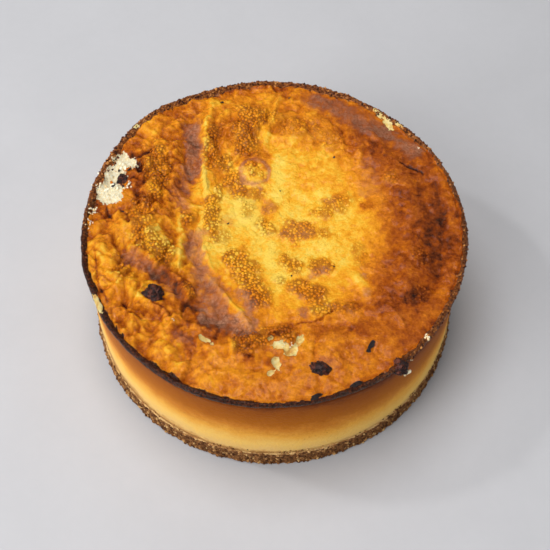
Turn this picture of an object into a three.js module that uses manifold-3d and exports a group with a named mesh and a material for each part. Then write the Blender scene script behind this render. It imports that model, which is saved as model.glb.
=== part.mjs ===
// A whole baked cheesecake, unmoulded: a pressed biscuit-crumb base, a tall set filling with
// a browned and folded top, and four raisins that sit half sunk in that top.
// Units are millimetres. +Z is up, -Y is the front, and the origin is the middle of the
// underside, so the cake stands on the plane z = 0.
import * as THREE from "three";
import { mergeVertices } from "three/addons/utils/BufferGeometryUtils.js";
import Module from "manifold-3d";

// Driving dimensions.
const RIM_RADIUS = 99.5; // outer edge of the baked rim, from a 200 mm springform tin
const RIM_HEIGHT = 71; // crest of the rim above the table
const BASE_HEIGHT = 11.5; // pressed crumb base
const BASE_RADIUS = 99; // the base spreads a little where the tin came off
const WALL_RADIUS = 98.4; // the filling shrinks from the tin as it cools
const WAIST = 0.5; // how far the filling's wall draws in half way up
const LEAN = 1.1; // how far the rim stands back of the base, from easing the tin off
const RIM_WIDTH = 3.2; // the dark rim, seen from above
const RIM_DEPTH = 3.4; // how far the rim's overhang reaches down the wall
const RIM_LIP = 1.1; // step down from the rim's crest to the skin inside it
const RIM_PUFF = 1.3; // the rim stands this much higher at its bulge

const RING_RADIUS = 76; // the puffed ring, which rose highest in the oven
const RING_WIDTH = 15;
const RING_RISE = 1.4;
const DISH_RADIUS = 44; // the middle, which sank again as it cooled
const DISH_DEPTH = 2.6;

const SECTORS = 104; // steps round the cake
const TOP_RINGS = 23; // steps from the rim to the middle
const WALL_RINGS = 4; // steps up the filling's wall
const BASE_RINGS = 3; // steps up the base's wall
const RAISIN_GAP = 0.3; // room between a raisin and its pocket

// The skin's folds. Each runs along a path across the top, in x and y, and stands this high
// over the skin, or dips below it where the rise is negative.
const FOLDS = [
  { path: [[-47, 70], [-46, 35], [-43, 5], [-37, -25], [-24, -47]], width: 8, rise: -2.4 },
  { path: [[-64, 50], [-64, 20], [-62, -8]], width: 7, rise: 1.8 },
  { path: [[-33, 68], [-33, 40], [-34, 5], [-27, -25], [-13, -54]], width: 5, rise: 1.7 },
  { path: [[-12, 76], [-15, 56], [-11, 34]], width: 8, rise: 1.5 },
  { path: [[-2, 78], [-5, 58]], width: 5, rise: -1.3 },
  { path: [[-70, -18], [-58, -30], [-47, -45]], width: 7, rise: 1.6 },
  { path: [[-81, 8], [-76, -12], [-72, -34], [-58, -52]], width: 5, rise: -1.3 },
  { path: [[-30, -66], [-14, -69], [2, -66]], width: 7, rise: 1.5 },
  { path: [[8, -53], [24, -48], [42, -38]], width: 4, rise: -1.1 },
  { path: [[62, 58], [80, 28], [84, -4], [76, -34]], width: 7, rise: -1.6 },
];

// Where the skin is torn off the set curd: the middle, half its length and width, its turn in
// degrees from the X axis, and how deep the tear goes.
const TEARS = [
  { x: -82, y: 35, along: 17, across: 6, turn: 73, depth: 1.8 },
  { x: 64, y: 73.5, along: 9, across: 3, turn: -52, depth: 1.6 },
];

// The raisins: place, half length, half width, half thickness, and the turn of the long axis.
const RAISINS = [
  { name: "raisin_left", x: -59.6, y: -38.6, half: [6.0, 5.0, 3.4], turn: -20, proud: 1.8 },
  { name: "raisin_front", x: 22, y: -78.5, half: [5.4, 3.4, 2.8], turn: -18, proud: 1.4 },
  { name: "raisin_rim", x: 60.5, y: -76.5, half: [4.6, 4.0, 3.8], turn: 35, proud: 1.0 },
  { name: "raisin_torn", x: -80.2, y: 31.8, half: [4.8, 2.8, 2.6], turn: -68, proud: 1.5 },
];

const radians = THREE.MathUtils.degToRad;
const smoothstep = THREE.MathUtils.smoothstep;
const bell = (distance, width) => Math.exp(-((distance / width) ** 2));

// How near this angle is to a direction in degrees: 1 along it, fading over a width in degrees.
function nearDirection(angle, degrees, width) {
  const turn = angle - radians(degrees);
  return bell(Math.atan2(Math.sin(turn), Math.cos(turn)), radians(width));
}

// How far the outline swells at this angle, at a share of the height: the slow unevenness of
// a cake that was eased out of its tin, with one bulge, one broken stretch and one torn one.
function swell(angle, share) {
  const uneven =
    0.35 * Math.sin(3 * angle + 0.6) +
    0.25 * Math.sin(7 * angle + 2.1) +
    2.0 * nearDirection(angle, 132, 13) -
    0.9 * nearDirection(angle, 203, 6) -
    2.0 * nearDirection(angle, 50, 14);
  return share * LEAN * Math.sin(angle) + (0.3 + 0.7 * share) * uneven;
}

const rimHeight = (angle) => RIM_HEIGHT + RIM_PUFF * nearDirection(angle, 132, 16);

function distanceToPath(x, y, path) {
  let nearest = Infinity;
  for (let i = 1; i < path.length; i++) {
    const [ax, ay] = path[i - 1];
    const [bx, by] = path[i];
    const [dx, dy] = [bx - ax, by - ay];
    const share = THREE.MathUtils.clamp(((x - ax) * dx + (y - ay) * dy) / (dx * dx + dy * dy), 0, 1);
    nearest = Math.min(nearest, Math.hypot(x - ax - share * dx, y - ay - share * dy));
  }
  return nearest;
}

// 0 in the middle of a tear and 1 on its edge.
function shareOfTear(x, y, tear) {
  const turn = radians(tear.turn);
  const along = (x - tear.x) * Math.cos(turn) + (y - tear.y) * Math.sin(turn);
  const across = -(x - tear.x) * Math.sin(turn) + (y - tear.y) * Math.cos(turn);
  return Math.hypot(along / tear.along, across / tear.across);
}

// The height of the skin over the table.
function skinHeight(x, y) {
  const r = Math.hypot(x, y);
  let z = RIM_HEIGHT - RIM_LIP;
  z += (rimHeight(Math.atan2(y, x)) - RIM_HEIGHT) * smoothstep(r, RING_RADIUS, RIM_RADIUS);
  z += RING_RISE * bell(r - RING_RADIUS, RING_WIDTH);
  z -= DISH_DEPTH * bell(r, DISH_RADIUS);
  for (const fold of FOLDS) z += fold.rise * bell(distanceToPath(x, y, fold.path), fold.width);
  for (const tear of TEARS) z -= tear.depth * (1 - smoothstep(shareOfTear(x, y, tear), 0.7, 1.05));
  return z;
}

// A closed body from rings of points: each ring is a function from an angle to a point, and
// the body closes to one point at each end. The rings run from the underside up and over.
function shellOfRings(bottom, rings, top) {
  const points = [bottom];
  for (const ring of rings)
    for (let s = 0; s < SECTORS; s++) points.push(ring((2 * Math.PI * s) / SECTORS));
  points.push(top);
  const at = (ring, s) => 1 + ring * SECTORS + (s % SECTORS);
  const last = rings.length - 1;
  const faces = [];
  for (let s = 0; s < SECTORS; s++) {
    faces.push(0, at(0, s + 1), at(0, s));
    for (let ring = 0; ring < last; ring++) {
      faces.push(at(ring, s), at(ring, s + 1), at(ring + 1, s + 1));
      faces.push(at(ring, s), at(ring + 1, s + 1), at(ring + 1, s));
    }
    faces.push(at(last, s), at(last, s + 1), points.length - 1);
  }
  const geometry = new THREE.BufferGeometry().setFromPoints(points);
  geometry.setIndex(faces);
  return geometry;
}

const onCircle = (angle, radius, z) =>
  new THREE.Vector3(radius * Math.cos(angle), radius * Math.sin(angle), z);

// The pressed crumbs: a low disc whose wall is rough, because grains broke away from it.
function crumbBaseGeometry() {
  const rough = (angle, level) =>
    0.3 * Math.sin(23 * angle + 1.7 * level) + 0.25 * Math.sin(37 * angle - 2.3 * level);
  const rings = [];
  for (let level = 0; level <= BASE_RINGS; level++) {
    const z = (BASE_HEIGHT * level) / BASE_RINGS;
    const drawnIn = level === 0 ? 0.8 : 0;
    rings.push((angle) =>
      onCircle(angle, BASE_RADIUS - drawnIn + swell(angle, 0) + rough(angle, level), z));
  }
  return shellOfRings(onCircle(0, 0, 0), rings, onCircle(0, 0, BASE_HEIGHT));
}

// The filling: a straight wall with a slight waist, the rim's overhang, and the folded top.
function fillingGeometry() {
  const wallTop = RIM_HEIGHT - RIM_DEPTH;
  const rings = [];
  for (let level = 0; level <= WALL_RINGS; level++) {
    const share = level / WALL_RINGS;
    const z = BASE_HEIGHT + (wallTop - BASE_HEIGHT) * share;
    rings.push((angle) =>
      onCircle(angle, WALL_RADIUS - WAIST * Math.sin(Math.PI * share) + swell(angle, share), z));
  }
  const rim = (inset, drop) => (angle) =>
    onCircle(angle, RIM_RADIUS - inset + swell(angle, 1), rimHeight(angle) - drop);
  rings.push(rim(0, 0.55 * RIM_DEPTH));
  rings.push(rim(0.3, 0.5));
  rings.push(rim(0.5 * RIM_WIDTH, 0));
  const inner = RIM_RADIUS - RIM_WIDTH;
  for (let step = 0; step < TOP_RINGS; step++) {
    const share = 1 - step / TOP_RINGS;
    rings.push((angle) => {
      const point = onCircle(angle, (inner + swell(angle, 1)) * share, 0);
      point.z = skinHeight(point.x, point.y);
      return point;
    });
  }
  return shellOfRings(onCircle(0, 0, BASE_HEIGHT), rings, onCircle(0, 0, skinHeight(0, 0)));
}

// A raisin: a ball drawn out to its three half sizes, with wrinkles that run lengthwise.
function raisinGeometry({ half }, growth = 0) {
  const ball = new THREE.SphereGeometry(1, 16, 10);
  ball.deleteAttribute("normal");
  ball.deleteAttribute("uv");
  const geometry = mergeVertices(ball, 1e-4);
  const place = geometry.getAttribute("position");
  for (let i = 0; i < place.count; i++) {
    const [x, y, z] = [place.getX(i), place.getY(i), place.getZ(i)];
    const wrinkle = 1 - 0.1 * Math.abs(Math.sin(2.5 * Math.atan2(z, y) + 1.3 * x)) * (1 - x * x);
    const grown = half.map((size) => (size + growth) * wrinkle);
    place.setXYZ(i, x * grown[0], y * grown[1], z * grown[2]);
  }
  return geometry;
}

function placeRaisin(object, raisin) {
  const crest = skinHeight(raisin.x, raisin.y) + raisin.proud;
  object.position.set(raisin.x, raisin.y, crest - raisin.half[2]);
  object.rotation.z = radians(raisin.turn);
  object.updateMatrixWorld(true);
  return object;
}

const wasm = await Module();
wasm.setup();

function solidOf(geometry) {
  return new wasm.Manifold(
    new wasm.Mesh({
      numProp: 3,
      vertProperties: new Float32Array(geometry.getAttribute("position").array),
      triVerts: new Uint32Array(geometry.index.array),
    }),
  );
}

function geometryOf(solid) {
  const { vertProperties, triVerts } = solid.getMesh();
  const geometry = new THREE.BufferGeometry();
  geometry.setAttribute("position", new THREE.BufferAttribute(new Float32Array(vertProperties), 3));
  geometry.setIndex([...triVerts]);
  geometry.computeVertexNormals();
  return geometry;
}

// The filling with a pocket for each raisin, a little larger than the raisin.
function pocketedFilling() {
  let filling = solidOf(fillingGeometry());
  for (const raisin of RAISINS) {
    const pocket = placeRaisin(new THREE.Object3D(), raisin);
    const grown = raisinGeometry(raisin, RAISIN_GAP).applyMatrix4(pocket.matrixWorld);
    filling = filling.subtract(solidOf(grown));
  }
  return geometryOf(filling);
}

const crumbs = new THREE.MeshStandardMaterial({ color: 0x6b4526, roughness: 0.95, metalness: 0 });
const browned = new THREE.MeshStandardMaterial({ color: 0xd98a2e, roughness: 0.5, metalness: 0 });
const raisinSkin = new THREE.MeshStandardMaterial({ color: 0x2a1418, roughness: 0.45, metalness: 0 });

function named(name, geometry, material) {
  const mesh = new THREE.Mesh(geometry, material);
  mesh.name = name;
  return mesh;
}

const cheesecake = new THREE.Group();
cheesecake.add(named("crumb_base", crumbBaseGeometry(), crumbs));
cheesecake.add(named("cheese_filling", pocketedFilling(), browned));
for (const raisin of RAISINS)
  cheesecake.add(placeRaisin(named(raisin.name, raisinGeometry(raisin), raisinSkin), raisin));

export default cheesecake;
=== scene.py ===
"""A whole baked cheesecake: pressed crumb base, set filling, browned blistered skin, dark rim and raisins."""
import math

import bpy
import numpy as np
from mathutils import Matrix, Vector


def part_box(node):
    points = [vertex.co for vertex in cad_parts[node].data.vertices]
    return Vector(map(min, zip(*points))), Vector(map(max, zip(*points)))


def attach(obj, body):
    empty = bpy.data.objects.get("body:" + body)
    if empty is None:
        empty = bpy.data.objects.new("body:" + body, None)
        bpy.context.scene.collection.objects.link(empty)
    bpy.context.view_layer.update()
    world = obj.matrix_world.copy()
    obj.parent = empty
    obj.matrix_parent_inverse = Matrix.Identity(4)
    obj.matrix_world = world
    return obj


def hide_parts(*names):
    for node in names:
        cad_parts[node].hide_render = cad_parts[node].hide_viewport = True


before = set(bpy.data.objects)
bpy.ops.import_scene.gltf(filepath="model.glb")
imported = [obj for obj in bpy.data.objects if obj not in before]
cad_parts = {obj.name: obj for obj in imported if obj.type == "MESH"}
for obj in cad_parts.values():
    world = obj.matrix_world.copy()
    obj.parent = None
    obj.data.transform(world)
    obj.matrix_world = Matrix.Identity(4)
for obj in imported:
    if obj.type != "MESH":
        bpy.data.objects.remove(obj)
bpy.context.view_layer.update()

MM = 0.001

# Sizes in millimetres, the same as the solid part's.
RIM_RADIUS = 99.5
RIM_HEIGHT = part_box("cheese_filling")[1].z / MM - 1.9
BASE_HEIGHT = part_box("cheese_filling")[0].z / MM
BASE_RADIUS = 98.6
WALL_RADIUS = 98.4
WAIST = 0.5
LEAN = 1.1
RIM_WIDTH = 3.2
RIM_DEPTH = 3.4
RIM_LIP = 1.1
RIM_PUFF = 1.3
RING_RADIUS, RING_WIDTH, RING_RISE = 76, 15, 1.4
DISH_RADIUS, DISH_DEPTH = 44, 2.6

SKIN_STEP = 0.62  # spacing of the skin's mesh
RIM_SECTORS = 960
WALL_SECTORS = 480
BASE_SECTORS = 900
WALL_ROWS = 19


# ---------------------------------------------------------------- shapes of numbers


def corner_value(ix, iy, seed):
    """A repeatable value from -1 to 1 for each whole-number corner of a lattice."""
    mixed = (ix * 374761393 + iy * 668265263 + seed * 2246822519) & 0xFFFFFFFF
    mixed = ((mixed ^ (mixed >> 13)) * 1274126177) & 0xFFFFFFFF
    return (mixed ^ (mixed >> 16)) / 2147483647.5 - 1.0


def waves(x, y, size, seed):
    """Smooth random waves, each about size across, from -1 to 1."""
    gx, gy = x / size, y / size
    ix, iy = np.floor(gx).astype(np.int64), np.floor(gy).astype(np.int64)
    fx, fy = gx - ix, gy - iy
    fx = fx * fx * fx * (fx * (fx * 6 - 15) + 10)
    fy = fy * fy * fy * (fy * (fy * 6 - 15) + 10)
    near = corner_value(ix, iy, seed) * (1 - fx) + corner_value(ix + 1, iy, seed) * fx
    far = corner_value(ix, iy + 1, seed) * (1 - fx) + corner_value(ix + 1, iy + 1, seed) * fx
    return near * (1 - fy) + far * fy


def rough(x, y, size, seed, layers=3):
    """Waves with finer ones on top, each layer turned so that no lattice shows."""
    total, weight, reach = 0.0, 1.0, 0.0
    for layer in range(layers):
        turn = 0.7 + 1.9 * layer
        u = x * math.cos(turn) - y * math.sin(turn)
        v = x * math.sin(turn) + y * math.cos(turn)
        total = total + weight * waves(u, v, size, seed + 17 * layer)
        reach += weight
        size, weight = size * 0.48, weight * 0.55
    return total / reach


def creased(x, y, size, seed):
    """Soft humps parted by narrow creases: 0 in a crease and up to 1 between."""
    return np.minimum(1.0, 2.6 * np.abs(rough(x, y, size, seed, 2)))


def ease(low, high, value):
    share = np.clip((value - low) / (high - low), 0, 1)
    return share * share * (3 - 2 * share)


def bell(distance, width):
    return np.exp(-((distance / width) ** 2))


def oval(x, y, cx, cy, along, across, turn=0):
    """The share of the way out of an oval: 0 in its middle and 1 on its edge."""
    c, s = math.cos(math.radians(turn)), math.sin(math.radians(turn))
    return np.hypot(((x - cx) * c + (y - cy) * s) / along, ((y - cy) * c - (x - cx) * s) / across)


def off_path(x, y, path):
    """The distance to the nearest piece of a path, or to a path's only point."""
    least = np.full(np.shape(x), 1e9)
    for (ax, ay), (bx, by) in zip(path, path[1:] or path):
        dx, dy = bx - ax, by - ay
        along = np.clip(((x - ax) * dx + (y - ay) * dy) / max(dx * dx + dy * dy, 1e-9), 0, 1)
        least = np.minimum(least, np.hypot(x - ax - along * dx, y - ay - along * dy))
    return least


def stroke(x, y, path, width, soft=0.45, fray=0.0):
    """1 along a path and 0 away from it, changing over a soft edge; fray pushes the edge in and out."""
    return 1 - ease(1 - soft, 1 + soft, off_path(x, y, path) / width + fray)


def near_direction(angle, degrees, width):
    turn = angle - math.radians(degrees)
    return bell(np.arctan2(np.sin(turn), np.cos(turn)), math.radians(width))


# ---------------------------------------------------------------- the cake's own form

# Folds of the skin: path, width, and rise over the skin or dip below it.
FOLDS = [
    ([(-44, 70), (-44, 40), (-48, 15)], 6, -1.6),
    ([(-42, 0), (-38, -22), (-26, -46)], 6, -1.8),
    ([(-64, 50), (-64, 20), (-62, -8)], 7, 1.8),
    ([(-33, 68), (-33, 40), (-34, 5)], 5, 1.5),
    ([(-12, 76), (-15, 56), (-11, 34)], 8, 1.5),
    ([(-2, 78), (-5, 58)], 5, -1.2),
    ([(-81, 8), (-76, -12), (-80, -30)], 4, -1.0),
    ([(-30, -66), (-14, -69), (2, -66)], 7, 1.4),
    ([(12, -57), (30, -55), (50, -52)], 5, -0.8),
    ([(62, 58), (80, 28), (84, -4), (76, -34)], 7, -1.4),
]

# Ridges of the puckered skin, hollows where the last number is below 0.
PUCKERS = [
    ([(-37.4, 70), (-36.8, 54), (-37.4, 40), (-35.5, 26)], 1.3, 1.6),
    ([(1, 84), (-1, 74), (-4, 62)], 2.0, 1.2),
    ([(-54, 56), (-54, 30), (-56, 12)], 2.4, 0.9),
    ([(-50, 14), (-47.5, -2), (-46.5, -22)], 1.6, 1.2),
    ([(-39, 2), (-35, -12), (-31, -22)], 1.4, 0.8),
    ([(-33, -26), (-26, -36), (-18, -46), (-11, -56)], 1.5, 1.5),
    ([(-59, -1), (-55, -6), (-51, -12)], 1.6, 1.2),
    ([(-71, -13), (-64, -16), (-56, -22), (-48, -30), (-43, -38)], 2.4, 1.7),
    ([(-66, -22), (-56, -29), (-47, -38), (-43, -50)], 2.2, -1.1),
    ([(-79, -34), (-70, -37), (-62, -42), (-53, -48), (-50, -56)], 2.6, 1.7),
    ([(-75, -41), (-71, -47), (-64, -52)], 1.3, -0.9),
    ([(-80, 10), (-77, 2), (-75, -8)], 2.0, 1.0),
    ([(-86, 12), (-87, 0), (-84, -14)], 1.4, -0.9),
    ([(-92, 4), (-90, -14), (-84, -30)], 2.2, 0.9),
    ([(-70, -56), (-60, -64), (-48, -72)], 3.0, 1.0), ([(-80, -46), (-70, -50), (-58, -58)], 2.6, 0.7),
    ([(-84, -24), (-76, -30), (-66, -33)], 2.8, 1.3), ([(-58, -54), (-46, -60), (-36, -64)], 2.6, 0.7),
    ([(-88, -10), (-80, -22)], 2.6, 1.0), ([(-72, 2), (-64, -4)], 3.0, 1.0),
    ([(-44, -76), (-28, -82), (-12, -84)], 2.8, 0.8),
    ([(-42, -55), (-34, -58), (-24, -58)], 2.6, 1.2),
    ([(-38, -66), (-28, -69), (-20, -68)], 2.0, 0.8),
    ([(-20, -59), (-20, -70)], 1.4, 0.9),
    ([(-12.3, -74.6)], 2.4, 0.8), ([(-2.8, -75)], 2.2, 0.8), ([(-44.6, 7)], 3.6, 1.1),
    ([(-25, 68), (-26, 52)], 2.2, 0.9),
    ([(-36, 88), (-34, 78), (-36, 72)], 1.6, 0.8),
    ([(-72, 68), (-66, 62), (-61, 68)], 1.8, 0.8), ([(-68, 58), (-60, 62)], 1.4, 0.6),
    ([(-80, 60), (-66, 74), (-48, 86)], 4.0, 0.7),
    ([(50, 64), (58, 58)], 1.6, 0.7), ([(58, 54), (60, 48)], 1.4, 0.6),
    ([(56, -44), (60, -50), (63, -56)], 1.2, 0.7), ([(42, -28), (46, -39)], 3.0, 0.7),
    ([(86, 30), (88, 10), (86, -12), (80, -34)], 2.0, -0.8),
    ([(66, 40), (72, 20), (70, -6), (66, -30)], 4.5, 0.6),
]
CRACKS = [
    ([(-79, 44.5), (-72, 47.5), (-64, 51.5)], 0.9), ([(11, -53.6), (21, -52), (29, -46)], 0.4),
    ([(67, 43), (73, 40), (79, 37.5)], 0.6), ([(-76, 11), (-75, 3)], 0.8), ([(-88, 15), (-84, 9)], 0.7),
    ([(-66.5, -37.5), (-59, -43.5), (-52.5, -48.5)], 0.7), ([(-75, -42), (-71, -47.5), (-65, -51)], 0.5),
    ([(-91, -12), (-88, -28), (-82, -42)], 0.5), ([(60, 76), (66, 71)], 0.8),
]

# Where the skin is torn off the pale curd: middle, half sizes and turn.
TEARS = [
    (-80, 44, 5.5, 8, 25),
    (-84, 36, 5.5, 8, 15),
    (-86, 25, 6.5, 6.5, 0),
    (-84, 20, 4, 3.2, 0),
]
# Where a flap of skin came away and left golden curd.
GOLD_TEARS = [
    (58, 77, 3.6, 1.6, -60),
    (63, 70, 4.4, 1.5, -62),
    (69.5, 69.5, 2.6, 2.0, -30),
    (-86, -44.5, 6.0, 1.5, -62),
    (-33.2, -64, 3.6, 1.5, -32),
    (2.6, -66.6, 4.6, 2.6, -12),
    (8.6, -69.2, 4.0, 2.2, 14),
    (12.4, -64.0, 1.7, 3.8, -20),
    (-1.6, -62.6, 1.8, 1.2, 30),
    (1.4, -76, 2.0, 3.4, 12),
    (-1, -80.6, 2.4, 1.2, 20),
    (-74, 67.5, 3.4, 1.3, 25),
]

# One large bubble of the skin, with a darker ring and a ring of painted sheen round it.
LONE_BLISTER = (-10, 37.8)
# Calm, flat stretches of the skin along the back, and where fine bubbles drift.
CALM_BACK_LEFT = [(-86, 48), (-74, 64), (-58, 78), (-40, 90)]
CALM_BACK_RIGHT = [(22, 87), (38, 78), (52, 68), (72, 54)]
FOAM_MIDDLE = [(0, 66), (34, 46), (42, 12), (34, -24), (6, -46)]
FOAM_LEFT = [(-74, -8), (-78, -26), (-66, -60)]

# The raisins: node, place, half length, half width, half thickness, turn, and how proud.
RAISINS = [
    ("raisin_left", -59.6, -38.6, (6.0, 5.0, 3.4), -20, 1.8),
    ("raisin_front", 22, -78.5, (5.4, 3.4, 2.8), -18, 1.4),
    ("raisin_rim", 60.5, -76.5, (4.6, 4.0, 3.8), 35, 1.0),
    ("raisin_torn", -80.2, 31.8, (4.8, 2.8, 2.6), -68, 1.5),
]


def swell(angle, share):
    uneven = (
        0.35 * np.sin(3 * angle + 0.6)
        + 0.25 * np.sin(7 * angle + 2.1)
        + 2.0 * near_direction(angle, 132, 13)
        - 0.9 * near_direction(angle, 203, 6)
        - 2.0 * near_direction(angle, 50, 14)
    )
    return share * LEAN * np.sin(angle) + (0.3 + 0.7 * share) * uneven


def rim_height(angle):
    return RIM_HEIGHT + RIM_PUFF * near_direction(angle, 132, 16)


def warped(x, y):
    """Places pushed about a little, so that nothing drawn on them has a smooth outline."""
    wx = x + 1.3 * rough(x, y, 11, 3) + 1.0 * rough(x, y, 3.5, 4)
    wy = y + 1.3 * rough(x, y, 11, 5) + 1.0 * rough(x, y, 3.5, 6)
    return wx, wy


def frayed(x, y):
    """How far the outline of a patch runs in and out."""
    return 0.55 * rough(x, y, 7, 58, 2) + 0.42 * rough(x, y, 3.2, 59, 2)


def most(x, y, spots, ragged):
    """How deep inside the nearest of the ovals: 1 inside, 0 outside, with ragged edges."""
    fray = rough(x, y, 3.0, 41, 4) + 0.4 * rough(x, y, 1.3, 42)
    inside = np.zeros(np.shape(x))
    for spot in spots:
        edge = oval(x, y, *spot) + ragged * fray * 4 / (2 + min(spot[2:4]))
        inside = np.maximum(inside, 1 - ease(0.8, 1.2, edge))
    return inside


def torn(x, y):
    return most(x, y, TEARS, 1.1)


def torn_gold(x, y):
    return most(x, y, GOLD_TEARS, 0.8)


# Stretches of the skin, each a path with its half width and an amount.
BLISTERS = [
    ([(-64, 46), (-62, 36)], 6.5, 1.0), ([(-61, 34), (-61, 23)], 4.5, 1.0), ([(-70, 14), (-66, 4)], 6, 0.8),
    ([(-68, -4), (-58, -12)], 6.5, 1.0), ([(-78, -17), (-74, -27)], 3.5, 0.5),
    ([(-33, 65), (-33, 43)], 3.4, 1.0),
    ([(-27, 46), (-25, 42)], 3.5, 0.9), ([(-16, 67), (-15, 52)], 5, 1.0), ([(-14, 76), (-6, 74)], 5.5, 1.0),
    ([(-11, 38)], 5.2, 1.0), ([(-22, 33), (-19, 26)], 5, 0.9), ([(-10, 24)], 4, 0.6),
    ([(-28.5, 28), (-28.5, 20)], 1.8, 0.9),
    ([(-32, 18), (-32, 4)], 3.8, 1.0), ([(-31.5, -4)], 2.6, 0.9), ([(-26, -3)], 4, 0.5),
    ([(-44.6, 7)], 4.0, 0.9),
    ([(-14, 14.5)], 3.5, 0.5), ([(-2, 16)], 3.5, 0.4), ([(-3, 5)], 4.6, 0.9), ([(8, 1), (17, 1)], 5, 0.7),
    ([(25, 0)], 4.5, 0.5), ([(26, 14), (33, 17)], 5, 0.6), ([(-19, -15), (-14, -26), (-8, -37)], 5.8, 1.0),
    ([(6, -17), (11, -21)], 4, 0.8), ([(3, -28)], 2.4, 0.7), ([(20, -22), (27, -20)], 4, 0.7),
    ([(12, -34), (21, -36)], 4.5, 0.9), ([(22, -46), (26, -45)], 2.8, 0.9),
    ([(32, -46), (39, -45)], 3.2, 0.6),
    ([(44, -18), (42, -10)], 3.5, 0.4), ([(-14, -64), (-8, -66)], 5, 0.9),
    ([(-2, -58), (6, -61)], 3.6, 0.8),
    ([(6, 70), (18, 66)], 6, 0.4), ([(30, 58)], 7, 0.3), ([(62, 33)], 3.4, 0.5), ([(-52, -22)], 2.2, 0.7),
    ([(-44, -32), (-41, -38)], 1.8, 0.8), ([(42, 20)], 4, 0.3), ([(74, -16)], 4, 0.4),
    ([(74, -36)], 4, 0.4),
]
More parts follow.
